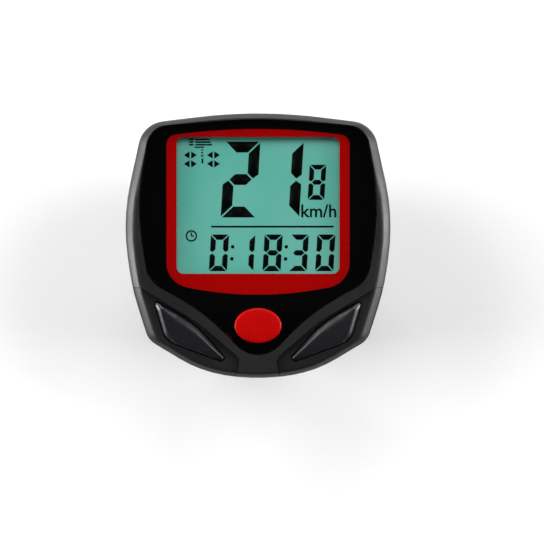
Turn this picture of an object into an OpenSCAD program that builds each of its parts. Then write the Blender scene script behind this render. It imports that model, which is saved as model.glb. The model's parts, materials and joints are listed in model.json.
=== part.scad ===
// Handlebar cycling computer: a sealed display head that slides onto a clamp-on saddle bracket.
// +Z points out of the display, +Y to the top edge of the display, and the handlebar runs along X.

/* [Head] */
// Width of the display head
body_w = 53.2; // [44:0.2:64]
// Height of the display head, from its top edge to its bottom edge
body_h = 53.1; // [44:0.2:64]
// Thickness of the outer walls of both shells
wall = 1.5; // [1:0.1:1.8]
// Thickness of the front wall that carries the window and the keys
front_wall = 1.2; // [0.8:0.1:2]
// Thickness of the rear shell's floor
rear_floor = 1.5; // [1:0.1:2]
// Thickness of the clear window
lens_t = 1.5; // [1:0.1:2.5]
// Thickness of the printed film and the red frame behind the window
film_t = 0.2; // [0.1:0.05:0.4]
// Height of the rim above the window
rim_lip = 0.35; // [0.2:0.05:0.8]

/* [Display] */
// Glass beyond the viewing window at its sides
lcd_side = 1.4; // [0.8:0.1:1.8]
// Glass beyond the viewing window at its top
lcd_top_edge = 0.8; // [0.6:0.1:1]
// Glass beyond the viewing window at its bottom, where the contacts are
lcd_bottom_edge = 2.8; // [2.4:0.1:3.2]
// Thickness of each sheet of glass
glass_t = 0.7; // [0.5:0.05:1.1]
// Thickness of the polariser and of the reflector
foil_t = 0.2; // [0.1:0.05:0.3]
// Height of the elastomer connector between the board and the glass
zebra_h = 2.95; // [2.4:0.05:4]
// Width of the elastomer connector
zebra_w = 1.4; // [1:0.1:1.8]

/* [Keys] */
// How far each key travels
key_travel = 0.8; // [0.4:0.05:1]
// Gap between a key and the hole that it moves in
key_gap = 0.2; // [0.1:0.05:0.3]
// How far the middle key stands above the window
mode_proud = 0.45; // [0.1:0.05:1]
// How far the corner keys stand above the rim
leaf_proud = 0.1; // [0:0.05:0.5]
// How far the corner covers lie below the rim
wing_drop = 0.6; // [0:0.05:0.8]
// Thickness of the contact pill under each key
pill_t = 0.4; // [0.2:0.05:0.6]
// Thickness of the rubber keypad
mat_t = 0.8; // [0.5:0.05:1]

/* [Battery] */
// Diameter of the button cell
cell_d = 11.6; // [7.9:0.1:11.8]
// Height of the button cell
cell_h = 5.4; // [3:0.1:6]
// Thickness of the battery cover's disc
cover_t = 1.5; // [1.3:0.1:2.4]
// Gap between the cell and the board, for the contact spring
contact_gap = 1.2; // [0.9:0.1:2]
// Angle that the cover turns through to unlock
cover_turn = 60; // [50:1:75]

/* [Board] */
// Thickness of the circuit board
pcb_t = 1; // [0.6:0.1:1.6]
// Gap between the board's edge and the shells
pcb_gap = 0.9; // [0.4:0.1:1.4]
// Thread diameter of the case screws and the board screws
screw_d = 1.6; // [1.2:0.1:1.8]

/* [Bracket] */
// Diameter of the handlebar
bar_d = 31.8; // [25.4:0.1:35]
// Angle of the handlebar that the saddle embraces
wrap = 116; // [110:1:130]
// Thickness of the rubber pad on the handlebar
pad_t = 1.2; // [0.8:0.1:2.5]
// Length of the saddle along the handlebar
saddle_l = 25.2; // [25.2:0.2:32]
// Thickness of the bracket over the handlebar
plate_t = 3; // [2.8:0.1:4.5]
// Thickness of the wall of the saddle's two feet
foot_wall = 1.6; // [1.2:0.1:3]
// Width and height of each cable-tie slot
tie_slot = [3.2, 1.4]; // [1:0.1:4]
// Length of the T-shaped slide on the back of the head
slide_l = 26; // [24:0.5:28]
// Height of the T-shaped slide
slide_h = 3.4; // [3.2:0.1:4]
// Width of the slide's flange
flange_w = 20.4; // [19.8:0.1:21]
// Thickness of the slide's flange
flange_t = 1.75; // [1.4:0.05:2]
// How far each rail hooks over the flange
rail_hook = 1.35; // [1:0.05:1.5]
// Sliding clearance on the slide
slide_gap = 0.15; // [0.1:0.05:0.25]
// Gap between the slide's face and the bracket
face_gap = 0.3; // [0.2:0.05:0.5]
// Diameter of the cable hole in the gland
cable_d = 2.4; // [2:0.1:2.6]

/* [Hidden] */
$fn = 48;
tiny = 0.01;      // depth of the slices that a hull joins
over = 1;         // how far a cut runs past the face that it opens
fit_gap = 0.1;    // gap round a part that drops into its pocket
arc_step = 9;     // largest turn between two points of a rounded corner, in degrees
arc_run = 3;      // largest distance between two points of a rounded corner

// Heights, from the foot of the saddle upwards
bar_r = bar_d / 2;
saddle_r = bar_r + pad_t;
bar_z = -bar_r * cos(wrap / 2);
foot_z = 0.5;
bar_y = -5;
plate_z = bar_z + saddle_r + plate_t;
slide_z = plate_z + face_gap;
back_z = slide_z + slide_h;
cell_z = slide_z + cover_t + fit_gap;
pcb_z = cell_z + cell_h + contact_gap;
pcb_top = pcb_z + pcb_t;
part_z = pcb_z + 0.2;
glass_z = pcb_top + zebra_h;
lcd_z = glass_z + glass_t + foil_t;
wall_z = lcd_z + fit_gap;
ledge_z = wall_z + front_wall;
lens_z = ledge_z + film_t;
top_z = lens_z + lens_t + rim_lip;
dome_z = pcb_top + key_travel + 0.05 + pill_t;   // underside of a dome's crown
stem_z = dome_z + mat_t;                         // top of a dome, where the key's stem rests
flange_z = wall_z - 0.9;                         // underside of a key's flange

// Outlines of the front: right halves from the top centre to the bottom centre, as [x, y, corner radius]
case_half = [[0, 26.9, 100], [22.9, 24.1, 5.5], [27, 5, 42], [25.1, -8.6, 45], [21.8, -19, 4],
    [11.5, -25.2, 25], [0, -27.1, 40]];
lens_half = [[0, 25.15, 100], [21.5, 23.3, 4.5], [24.2, 7.6, 45], [21.9, -7.2, 6], [10.6, -13.5, 40],
    [0, -24.4, 5.8]];
frame_half = [[0, 23.7, 120], [18.2, 21.7, 2], [18.2, -7.7, 5], [0, -11.4, 70]];
leaf = [[20.7, -11, 0.4], [12.6, -15.5, 24], [5.4, -23.9, 0.6], [18.3, -19, 3.4]];
wing = [[32, -8.2, 1], [23.4, -8.6, 1.5], [12.2, -15.3, 30], [3.6, -22.7, 1.8], [5, -29, 1],
    [32, -29, 1]];
window_at = [0, 7.8];
window_size = [32.4, 27.2];
window_r = 1.4;
mode_at = [0, -16.1];
mode_size = [9.4, 7];
leaf_at = [13.2, -18.4];
case_posts = [[20.7, 19.3], [20.7, -7.6]];
pcb_posts = [[20.7, 8], [6.6, -12]];
wing_pegs = [[22.2, -13.4], [12.6, -23.1]];
peg_r = 0.7;

function unit(v) = v / norm(v);
function at(list, i) = list[(i + len(list)) % len(list)];
function xy(p) = [p.x, p.y];
// Points of the arc that rounds corner b between a and c
function corner(a, b, c, r) =
    let (u = unit(a - b), w = unit(c - b), half = acos(u * w) / 2,
        mid = b + unit(u + w) * r / sin(half),
        p = b + u * r / tan(half) - mid, q = b + w * r / tan(half) - mid,
        from = atan2(p.y, p.x),
        sweep = (atan2(q.y, q.x) - from + 540) % 360 - 180,
        n = max(2, ceil(abs(sweep) / arc_step), ceil(abs(sweep) / 57.3 * r / arc_run)))
    [for (i = [0 : n]) mid + r * [cos(from + sweep * i / n), sin(from + sweep * i / n)]];
function rounded(points) =
    [for (i = [0 : len(points) - 1])
        each corner(xy(at(points, i - 1)), xy(points[i]), xy(at(points, i + 1)), points[i].z)];
function both_halves(half) =
    concat(half, [for (i = [len(half) - 2 : -1 : 1]) [-half[i].x, half[i].y, half[i].z]]);
// The outlines are drawn at their styled size, then fitted to body_w and body_h
styled = rounded(both_halves(case_half));
styled_w = 2 * max([for (p = styled) p.x]);
styled_top = max([for (p = styled) p.y]);
styled_bottom = min([for (p = styled) p.y]);
fit_x = body_w / styled_w;
fit_y = body_h / (styled_top - styled_bottom);
function placed(p) = [p.x * fit_x, (p.y - (styled_top + styled_bottom) / 2) * fit_y];
function fitted(path) = [for (p = path) placed(p)];
case_path = fitted(styled);
lens_path = fitted(rounded(both_halves(lens_half)));
frame_path = fitted(rounded(both_halves(frame_half)));
leaf_path = fitted(rounded(leaf));
wing_path = fitted(rounded(wing));

// Places that follow the fitted outlines
view_at = placed(window_at);
view_size = [window_size.x * fit_x, window_size.y * fit_y];
mode_c = placed(mode_at);
leaf_c = placed(leaf_at);
lcd_w = view_size.x + 2 * lcd_side;
lcd_y0 = view_at.y - view_size.y / 2 - lcd_bottom_edge;
lcd_y1 = view_at.y + view_size.y / 2 + lcd_top_edge;
rear_glass_y0 = lcd_y0 + zebra_w + 0.6;
holder_wall = 0.6;
holder_y0 = lcd_y0 - holder_wall - fit_gap;
post_r = screw_d / 2 + 0.7;

// Battery compartment, at the middle of the slide's width
cell_r = cell_d / 2;
slide_y1 = bar_y + slide_l / 2;
slide_y0 = bar_y - slide_l / 2;
neck_w = flange_w - 2 * rail_hook - 2 * slide_gap;
well_r = cell_r + 0.15;
spigot_r = well_r + 0.55;
cover_r = spigot_r + 1.1;
bore_r = cover_r + 0.15;
cover_y = slide_y0 + bore_r + 1.6;
stud_x = 5;
stud_y = slide_y1 - 2.8;
stud_r = 1.5;
flange_ring_z = slide_z + cover_t + 0.05;  // underside of the ring that the cover's tabs hook over
flange_ring_t = 0.85;
tab_z = flange_ring_z + flange_ring_t + 0.05;
tab_t = 0.6;
tab_arc = 40;

// Bracket
rail_w = (saddle_l - flange_w) / 2 - slide_gap;
rail_top = back_z - face_gap;
hook_z = slide_z + flange_t + slide_gap;
bracket_y = sqrt(saddle_r * saddle_r - (foot_z - bar_z) * (foot_z - bar_z)) + foot_wall;
hinge_y = -8;
latch_t = 1.6;
latch_room = 3.2;
tie_x = flange_w / 2 - 0.4;
tie_depth = 1.9;
latch_w = 8;
hinge_r = latch_t / 2;
hinge_z = plate_z - hinge_r;
catch_y = slide_y0 - 0.3;
latch_tip_y = -24.2;
pin_r = 0.9;
pin_collar_r = 1.4;
pin_shoulder_z = plate_z - 1;
pin_z = pin_shoulder_z - 1.2;
cap_z = bar_z + sqrt(saddle_r * saddle_r - (stud_y - 1.6 - bar_y) * (stud_y - 1.6 - bar_y)) + 0.15;
cap_t = 0.6;
gland_z = plate_z - 2.8;
gland_r = cable_d / 2 + 0.7;
gland_l = 2.6;
gland_lip = 1.4;
gland_y = bar_y + bracket_y - gland_l;

// The case's outline moved inwards by d; the squash makes the step smaller at its top and bottom edges
function outward(i) = let (t = unit(at(case_path, i + 1) - at(case_path, i - 1))) [-t.y, t.x];
function inset_path(d, squash = 1) =
    [for (i = [0 : len(case_path) - 1]) case_path[i] - d * [outward(i).x, outward(i).y * squash]];
module case_inset(d) { polygon(inset_path(d)); }
module prism(z0, z1) { translate([0, 0, z0]) linear_extrude(z1 - z0) children(); }
// A rod along X centred on the middle plane, and a rod along Y that starts at y
module rod_x(y, z, r, h) { translate([0, y, z]) rotate([0, 90, 0]) cylinder(r = r, h = h, center = true); }
module rod_y(y, z, r, h) { translate([0, y, z]) rotate([-90, 0, 0]) cylinder(r = r, h = h); }
module both_sides() {
    children();
    mirror([1, 0, 0]) children();
}
module at_each(points) {
    for (p = points) translate([p.x, p.y, 0]) children();
}
module rounded_box(w, h, r) {
    square([w - 2 * r, h], center = true);
    square([w, h - 2 * r], center = true);
    for (x = [-1, 1], y = [-1, 1]) translate([x * (w / 2 - r), y * (h / 2 - r)]) circle(r);
}
module ellipse(size) {
    polygon([for (i = [0 : 47]) [size.x / 2 * cos(i * 7.5), size.y / 2 * sin(i * 7.5)]]);
}

// The outer form of the whole head: both shells and the wings are cut out of it
edge_squash = 0.55;
head_levels = [[back_z, 2.8], [back_z + 0.5, 1.6], [back_z + 1.6, 0.6], [back_z + 3.4, 0], [top_z - 2, 0],
    [top_z - 1.45, 0.15], [top_z - 0.95, 0.5], [top_z - 0.3, 1.3], [top_z - 0.08, 1.7], [top_z, 2.3]];
module head_form() {
    n = len(case_path);
    last = len(head_levels) - 1;
    points = [for (level = head_levels, p = inset_path(level[1], edge_squash)) [p.x, p.y, level[0]]];
    sides = [for (i = [0 : last - 1], k = [0 : n - 1])
        let (a = i * n + k, b = i * n + (k + 1) % n)
        each [[a, b, b + n], [a, b + n, a + n]]];
    bottom = [for (k = [n - 1 : -1 : 0]) k];
    top = [for (k = [0 : n - 1]) last * n + k];
    polyhedron(points, concat([bottom], sides, [top]));
}
module half_form(z0, z1) {
    intersection() {
        head_form();
        prism(z0, z1) square(2 * max(body_w, body_h), center = true);
    }
}
module wing_shape(grow) { offset(delta = grow) polygon(wing_path); }
module leaf_shape(grow) { offset(delta = grow) polygon(leaf_path); }
module window_shape(grow) {
    translate(view_at) rounded_box(view_size.x + 2 * grow, view_size.y + 2 * grow, window_r + grow);
}

module front_case() {
    color("dimgray") difference() {
        half_form(part_z, top_z);
        prism(part_z - over, wall_z) case_inset(wall);
        prism(ledge_z, top_z + over) offset(delta = fit_gap) polygon(lens_path);
        prism(wall_z - over, top_z) window_shape(0.6);
        prism(wall_z - over, top_z) translate(mode_c) ellipse(mode_size + 2 * [key_gap, key_gap]);
        both_sides() {
            prism(ledge_z, top_z + over) wing_shape(0.05);
            prism(wall_z - over, top_z) leaf_shape(key_gap);
            prism(wall_z - over, top_z) at_each([for (p = wing_pegs) placed(p)]) circle(peg_r);
        }
    }
    color("dimgray") both_sides() {
        prism(part_z, wall_z + tiny) at_each([for (p = case_posts) placed(p)]) screw_tube();
        prism(pcb_top, wall_z + tiny) at_each([for (p = pcb_posts) placed(p)]) screw_tube();
    }
}
module screw_tube() {
    difference() {
        circle(post_r);
        circle(screw_d / 2);
    }
}

// One wing covers a lower corner of the head and frames a leaf-shaped key
module right_wing() {
    color("dimgray") {
        difference() {
            intersection() {
                translate([0, 0, -wing_drop]) head_form();
                prism(ledge_z, top_z + over) wing_shape(-0.05);
            }
            prism(ledge_z - over, top_z + over) leaf_shape(key_gap);
        }
        prism(wall_z, ledge_z + tiny) at_each([for (p = wing_pegs) placed(p)]) circle(peg_r);
    }
}
module left_wing() { mirror([1, 0, 0]) right_wing(); }

module lens() {
    color("aliceblue", 0.4) prism(lens_z, lens_z + lens_t) difference() {
        polygon(lens_path);
        translate(mode_c) ellipse(mode_size + 2 * [key_gap, key_gap]);
    }
}
module black_film() {
    color("black") prism(ledge_z, lens_z) difference() {
        polygon(lens_path);
        offset(delta = 0.02) polygon(frame_path);
        translate(mode_c) ellipse(mode_size + 2 * [key_gap, key_gap]);
    }
}
module red_frame() {
    color("red") prism(ledge_z, lens_z) difference() {
        polygon(frame_path);
        window_shape(0);
    }
}

key_flange = 0.5;
module key_stem(c) { prism(stem_z, flange_z + tiny) translate(c) circle(1.6); }
module right_button() {
    color("darkslategray") {
        prism(flange_z, top_z + leaf_proud) leaf_shape(0);
        prism(flange_z, wall_z - fit_gap) intersection() {
            leaf_shape(key_flange);
            case_inset(wall + fit_gap);
        }
        key_stem(leaf_c);
    }
}
module left_button() { mirror([1, 0, 0]) right_button(); }
module mode_button() {
    color("red") {
        prism(flange_z, lens_z + lens_t + mode_proud) translate(mode_c) ellipse(mode_size);
        prism(flange_z, wall_z - fit_gap) translate(mode_c) ellipse(mode_size + 2 * [key_flange, key_flange]);
        key_stem(mode_c);
    }
}
pill_r = 1.3;
module pill(c) { color("black") prism(dome_z - pill_t, dome_z) translate(c) circle(pill_r); }
module right_pill() { pill(leaf_c); }
module left_pill() { mirror([1, 0, 0]) right_pill(); }
module mode_pill() { pill(mode_c); }

// One silicone sheet with a hollow dome under each key
dome_r = 2.7;
dome_wall = 0.6;
module keypad_mat() {
    keys = [mode_c, leaf_c, [-leaf_c.x, leaf_c.y]];
    reach = leaf_c - mode_c;
    color("gainsboro") difference() {
        union() {
            prism(pcb_top, pcb_top + mat_t) intersection() {
                union() {
                    at_each(keys) circle(dome_r + 0.4);
                    both_sides() translate(mode_c) rotate(atan2(reach.y, reach.x))
                        translate([0, -1.5]) square([norm(reach), 3]);
                }
                case_inset(wall + fit_gap);
            }
            prism(pcb_top, stem_z) at_each(keys) circle(dome_r);
        }
        prism(pcb_top - over, dome_z) at_each(keys) circle(dome_r - dome_wall);
    }
}

module sheet(z0, t, y0, y1, w) { prism(z0, z0 + t) translate([-w / 2, y0]) square([w, y1 - y0]); }
module lcd_front_glass() { color("lightblue", 0.5) sheet(glass_z, glass_t, lcd_y0, lcd_y1, lcd_w); }
module lcd_rear_glass() {
    color("lightblue", 0.5) sheet(glass_z - glass_t, glass_t, rear_glass_y0, lcd_y1, lcd_w);
}
module lcd_polariser() {
    color("mediumaquamarine")
        sheet(glass_z + glass_t, foil_t, lcd_y0 + 0.6, lcd_y1 - 0.3, lcd_w - 0.6);
}
module lcd_reflector() {
    color("silver")
        sheet(glass_z - glass_t - foil_t, foil_t, rear_glass_y0 + 0.3, lcd_y1 - 0.3, lcd_w - 0.6);
}
module zebra_strip() {
    color("pink") sheet(pcb_top, zebra_h, lcd_y0 + 0.2, lcd_y0 + 0.2 + zebra_w, lcd_w - 3);
}
// White frame that squares the glass up on the board
module lcd_holder() {
    outer_w = lcd_w + 2 * (holder_wall + fit_gap);
    color("white") difference() {
        intersection() {
            sheet(pcb_top, wall_z - pcb_top, holder_y0, lcd_y1 + fit_gap + holder_wall, outer_w);
            prism(pcb_top, wall_z) case_inset(wall + fit_gap);
        }
        sheet(pcb_top - over, wall_z, lcd_y0 - fit_gap, lcd_y1 + fit_gap, lcd_w + 2 * fit_gap);
    }
    color("white") both_sides()
        prism(pcb_top, glass_z - glass_t - foil_t) translate([lcd_w / 2 - 1.2, rear_glass_y0])
            square([1.2 + fit_gap + tiny, lcd_y1 - rear_glass_y0]);
}

module pcb() {
    color("darkgreen") prism(pcb_z, pcb_top) difference() {
        case_inset(wall + pcb_gap);
        both_sides() {
            at_each([for (p = case_posts) placed(p)]) circle(post_r + 0.4);
            at_each([for (p = pcb_posts) placed(p)]) circle(screw_d / 2);
        }
    }
}
module chip_blob() {
    blob_r = 6;
    blob_h = 1.1;
    color("black") translate([0, view_at.y, pcb_top]) rotate_extrude()
        polygon([[0, 0], for (a = [0 : 15 : 90]) [blob_r * cos(a), blob_h * sin(a)]]);
}
module crystal() {
    color("silver") translate([-12, view_at.y - 3, pcb_top + 0.9]) {
        rotate([-90, 0, 0]) cylinder(r = 0.9, h = 5);
        for (x = [-0.4, 0.4]) translate([x, -1.6, 0]) rotate([-90, 0, 0]) cylinder(r = 0.15, h = 1.7);
    }
}
module chip_parts() {
    color("tan") for (p = [[11, 12], [11, 9.5], [11, 7], [13.4, 12], [13.4, 9.5], [-10, 14], [-10, 11.5]])
        translate([p.x - 0.8, p.y - 0.4, pcb_top]) cube([1.6, 0.8, 0.6]);
}

// A pan-head screw standing on its head, with a cross recess
module screw(length, head_r, head_h) {
    difference() {
        cylinder(r = head_r, h = head_h);
        for (a = [0, 90]) rotate(a) translate([-head_r * 0.6, -0.15, -tiny]) cube([head_r * 1.2, 0.3, 0.5]);
    }
    cylinder(r = screw_d / 2, h = head_h + length);
}
screw_head_r = screw_d / 2 + 0.55;
screw_head_h = 0.9;
module pcb_screws() {
    color("silver") both_sides() at_each([for (p = pcb_posts) placed(p)])
        translate([0, 0, pcb_z - screw_head_h]) screw(pcb_t + 2.6, screw_head_r, screw_head_h);
}
case_screw_z = back_z + 1.2;
case_screw_l = part_z - case_screw_z - screw_head_h + 3;
module case_screws() {
    color("silver") both_sides() at_each([for (p = case_posts) placed(p)])
        translate([0, 0, case_screw_z]) screw(case_screw_l, screw_head_r, screw_head_h);
}

clip_t = 0.25;
clip_turn = 30;    // turns the clip round the cell, away from the board's screw
module positive_contact() {
    color("gold") rotate_about_cover(clip_turn) translate([cell_r + 0.02, cover_y - 1.5, 0]) {
        translate([0, 0, cell_z + 2.6]) cube([clip_t, 3, pcb_z - cell_z - 2.6]);
        translate([0, 0, pcb_z - clip_t]) cube([3, 3, clip_t]);
    }
}
module negative_contact() {
    reach = contact_gap - 0.05;
    color("gold") translate([-1.5, cover_y - 3, pcb_z]) rotate([90, 0, 90]) linear_extrude(3)
        polygon([[0, 0], [7, 0], [7, -clip_t], [1.4, -clip_t], [4.4, -reach + clip_t], [5.4, -reach + clip_t],
            [5.4, -reach], [4.2, -reach], [0, -clip_t]]);
}
module button_cell() {
    color("silver") translate([0, cover_y, cell_z]) {
        cylinder(r = cell_r, h = cell_h - 0.6);
        cylinder(r = cell_r - 0.9, h = cell_h);
    }
}

// The T-shaped slide that the bracket's rails hold
module slide_form() {
    translate([-flange_w / 2, slide_y0, slide_z]) cube([flange_w, slide_l, flange_t]);
    translate([-neck_w / 2, slide_y0, slide_z]) cube([neck_w, slide_l, slide_h + tiny]);
}
module cover_tabs(arc, r0, r1, z0, z1) {
    translate([0, cover_y, 0]) for (a = [0, 180]) rotate(a - arc / 2)
        translate([0, 0, z0]) rotate_extrude(angle = arc) translate([r0, 0]) square([r1 - r0, z1 - z0]);
}
module cover_bore(r, z0, z1) { translate([0, cover_y, z0]) cylinder(r = r, h = z1 - z0); }
seal_w = 0.6;
seal_h = 0.8;
module seal_ring() {
    difference() {
        case_inset((wall - seal_w) / 2);
        case_inset((wall + seal_w) / 2);
    }
}
module rear_case() {
    floor_z = back_z + rear_floor;
    color("dimgray") difference() {
        union() {
            difference() {
                half_form(back_z, part_z);
                prism(floor_z, part_z + over) case_inset(wall);
            }
            slide_form();
            cover_bore(well_r + 0.9, back_z, cell_z + cell_h - 0.8);
            both_sides() prism(back_z + 0.6, part_z) at_each([for (p = case_posts) placed(p)]) circle(post_r);
        }
        prism(part_z - seal_h, part_z + over) seal_ring();
        cover_bore(bore_r, slide_z - over, flange_ring_z);
        cover_bore(spigot_r + 0.12, slide_z - over, tab_z + tab_t + 0.1);
        cover_bore(bore_r, flange_ring_z + flange_ring_t, tab_z + tab_t + 0.1);
        cover_bore(well_r, slide_z - over, part_z + over);
        rotate_about_cover(cover_turn) cover_tabs(tab_arc + 6, well_r, bore_r - 0.2, slide_z - over, tab_z);
        rotate_about_cover(clip_turn) translate([cell_r, cover_y - 1.7, cell_z + 2.4])
            cube([1.6, 3.4, cell_h]);
        both_sides() {
            at_each([for (p = case_posts) placed(p)]) {
                translate([0, 0, back_z - over]) cylinder(r = screw_d / 2 + 0.1, h = part_z);
                translate([0, 0, case_screw_z - over - 1.2])
                    cylinder(r = screw_head_r + 0.1, h = over + 1.2 + screw_head_h);
            }
            translate([stud_x, stud_y, slide_z - over]) {
                cylinder(r = 0.8, h = floor_z + 2 * over);
                cylinder(r = stud_r, h = over + 0.8);
            }
        }
    }
}
module rotate_about_cover(a) {
    translate([0, cover_y, 0]) rotate(a) translate([0, -cover_y, 0]) children();
}
module case_seal() { color("black") prism(part_z - seal_h, part_z) seal_ring(); }

// Coin-slot cover with two bayonet tabs
seal_r = 0.4;
module battery_cover() {
    color("dimgray") {
        difference() {
            cover_bore(cover_r, slide_z, slide_z + cover_t);
            translate([0, cover_y, slide_z + cover_t / 2]) rotate_extrude()
                translate([bore_r - 2 * seal_r - 0.02, -seal_r]) square([2, 2 * seal_r]);
            translate([-4.5, cover_y - 0.7, slide_z - over]) cube([9, 1.4, over + 0.5]);
        }
        difference() {
            cover_bore(spigot_r, slide_z + cover_t - tiny, tab_z + tab_t);
            cover_bore(well_r, slide_z + cover_t - 2 * tiny, tab_z + tab_t + over);
        }
        cover_tabs(tab_arc, spigot_r - 0.1, bore_r - 0.25, tab_z, tab_z + tab_t);
    }
}
module cover_seal() {
    color("black") translate([0, cover_y, slide_z + cover_t / 2]) rotate_extrude()
        translate([bore_r - seal_r - 0.01, 0]) circle(seal_r - 0.005);
}

module contact_studs() {
    color("gold") both_sides() translate([stud_x, stud_y, slide_z]) {
        cylinder(r = stud_r, h = 0.8);
        cylinder(r = 0.8, h = slide_h + rear_floor + 0.4);
    }
}

// A coil spring: a wire of six sides swept along a helix
coil_sides = 6;
coil_steps = 16;
module coil(r, wire_r, h, turns) {
    n = turns * coil_steps;
    rise = h - 2 * wire_r;
    points = [for (i = [0 : n], k = [0 : coil_sides - 1])
        let (a = 360 * i / coil_steps, b = 360 * k / coil_sides, out = r + wire_r * cos(b))
        [out * cos(a), out * sin(a), wire_r + rise * i / n + wire_r * sin(b)]];
    sides = [for (i = [0 : n - 1], k = [0 : coil_sides - 1])
        let (p = i * coil_sides + k, q = i * coil_sides + (k + 1) % coil_sides)
        each [[p, p + coil_sides, q + coil_sides], [p, q + coil_sides, q]]];
    first = [[for (k = [0 : coil_sides - 1]) k]];
    last = [[for (k = [coil_sides - 1 : -1 : 0]) n * coil_sides + k]];
    polyhedron(concat(points), concat(sides, first, last));
}
module stud_springs() {
    z0 = slide_z + slide_h + rear_floor + 0.4;
    color("silver") both_sides() translate([stud_x, stud_y, z0]) coil(0.9, 0.15, pcb_z - z0, 4);
}

// Saddle bracket with two rails that hook over the slide's flange
module bracket_body() {
    color("dimgray") difference() {
        union() {
            prism(foot_z, plate_z) translate([0, bar_y]) rounded_box(saddle_l, 2 * bracket_y, 2.5);
            both_sides() {
                translate([flange_w / 2 + slide_gap, slide_y0 + 2, plate_z - tiny])
                    cube([rail_w, slide_l, rail_top - plate_z + tiny]);
                translate([flange_w / 2 + slide_gap - rail_hook, slide_y0 + 2, hook_z])
                    cube([rail_hook + tiny, slide_l, rail_top - hook_z]);
            }
            translate([-flange_w / 2 - slide_gap, slide_y1 + 0.1, plate_z - tiny])
                cube([flange_w + 2 * slide_gap, 1.9, rail_top - plate_z + tiny]);
        }
        rod_x(bar_y, bar_z, saddle_r, saddle_l + 2 * over);
        latch_slot();
        both_sides() {
            translate([tie_x - tie_slot.x / 2, bar_y - 40, plate_z - tie_depth - tie_slot.y / 2])
                cube([tie_slot.x, 80, tie_slot.y]);
            translate([stud_x, stud_y, cap_z]) {
                cylinder(r = pin_r + 0.05, h = plate_z);
                cylinder(r = pin_collar_r + 0.1, h = pin_shoulder_z - cap_z);
            }
        }
        translate([-stud_x - 1.8, stud_y - 1.6, bar_z]) cube([2 * stud_x + 3.6, 3.2, cap_z + cap_t - bar_z]);
        rod_y(stud_y, gland_z, cable_d / 2 + 0.2, 20);
        translate([-stud_x, stud_y - 0.6, cap_z]) cube([2 * stud_x, 1.2, gland_z - cap_z]);
        rod_y(gland_y, gland_z, gland_r, 20);
    }
}
module latch_slot() {
    gap = 0.25;
    translate([-latch_w / 2 - gap, bar_y - 30, plate_z - latch_t - latch_room])
        cube([latch_w + 2 * gap, 30 + hinge_y - bar_y, 12]);
    rod_x(hinge_y, hinge_z, hinge_r + 0.05, latch_w + 2 * gap);
}
module cable_gland() {
    color("black") difference() {
        union() {
            rod_y(gland_y, gland_z, gland_r, gland_l + gland_lip / 2);
            rod_y(bar_y + bracket_y, gland_z, gland_r + 0.5, gland_lip);
        }
        rod_y(gland_y - over, gland_z, cable_d / 2, gland_l + gland_lip + 2 * over);
    }
}
module bar_pad() {
    color("black") difference() {
        intersection() {
            rod_x(bar_y, bar_z, saddle_r, saddle_l - 1);
            translate([-saddle_l, bar_y - 30, 0]) cube([2 * saddle_l, 60, 30]);
        }
        rod_x(bar_y, bar_z, bar_r, saddle_l + over);
    }
}

// Springy tongue with a catch behind the slide and a ribbed thumb pad
module release_latch() {
    catch_h = 1.6;
    pad_y0 = latch_tip_y;
    pad_y1 = catch_y - 2.6;
    color("dimgray") {
        rod_x(hinge_y, hinge_z, hinge_r, latch_w);
        translate([-latch_w / 2, latch_tip_y, plate_z - latch_t])
            cube([latch_w, hinge_y - latch_tip_y, latch_t]);
        translate([-latch_w / 2 + 1, 0, plate_z - tiny]) rotate([90, 0, 90]) linear_extrude(latch_w - 2)
            polygon([[catch_y, 0], [catch_y, catch_h], [catch_y - 0.6, catch_h], [catch_y - 2.2, 0]]);
        translate([-latch_w / 2, pad_y0, plate_z - latch_t - 0.6]) cube([latch_w, pad_y1 - pad_y0, 0.7]);
        for (i = [0 : 2]) translate([-latch_w / 2 + 0.8, pad_y0 + 0.4 + i, plate_z - tiny])
            cube([latch_w - 1.6, 0.5, 0.4]);
    }
}

module right_pin() {
    color("gold") translate([stud_x, stud_y, 0]) {
        translate([0, 0, pin_z]) cylinder(r = pin_collar_r, h = 0.8);
        translate([0, 0, pin_z]) cylinder(r = pin_r, h = slide_z - 0.02 - pin_z);
    }
}
module left_pin() { mirror([1, 0, 0]) right_pin(); }
module right_pin_spring() {
    color("silver") translate([stud_x, stud_y, cap_z + cap_t])
        coil(1.05, 0.15, pin_z - cap_z - cap_t, 3);
}
module left_pin_spring() { mirror([1, 0, 0]) right_pin_spring(); }
module terminal_cap() {
    color("black") translate([-stud_x - 1.7, stud_y - 1.5, cap_z]) cube([2 * stud_x + 3.4, 3, cap_t]);
}

front_case();
left_wing();
right_wing();
lens();
black_film();
red_frame();
left_button();
right_button();
mode_button();
left_pill();
right_pill();
mode_pill();
keypad_mat();
lcd_polariser();
lcd_front_glass();
lcd_rear_glass();
lcd_reflector();
lcd_holder();
zebra_strip();
pcb();
chip_blob();
crystal();
chip_parts();
pcb_screws();
positive_contact();
negative_contact();
button_cell();
rear_case();
case_seal();
case_screws();
contact_studs();
stud_springs();
battery_cover();
cover_seal();
bracket_body();
bar_pad();
release_latch();
left_pin();
right_pin();
left_pin_spring();
right_pin_spring();
terminal_cap();
cable_gland();
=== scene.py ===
"""A handlebar cycling computer: the visible pieces and finishes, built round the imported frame."""

import json
import math

import bmesh
import bpy
from bpy.props import FloatProperty, FloatVectorProperty, IntProperty, PointerProperty, StringProperty
from mathutils import Matrix, Vector

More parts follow.
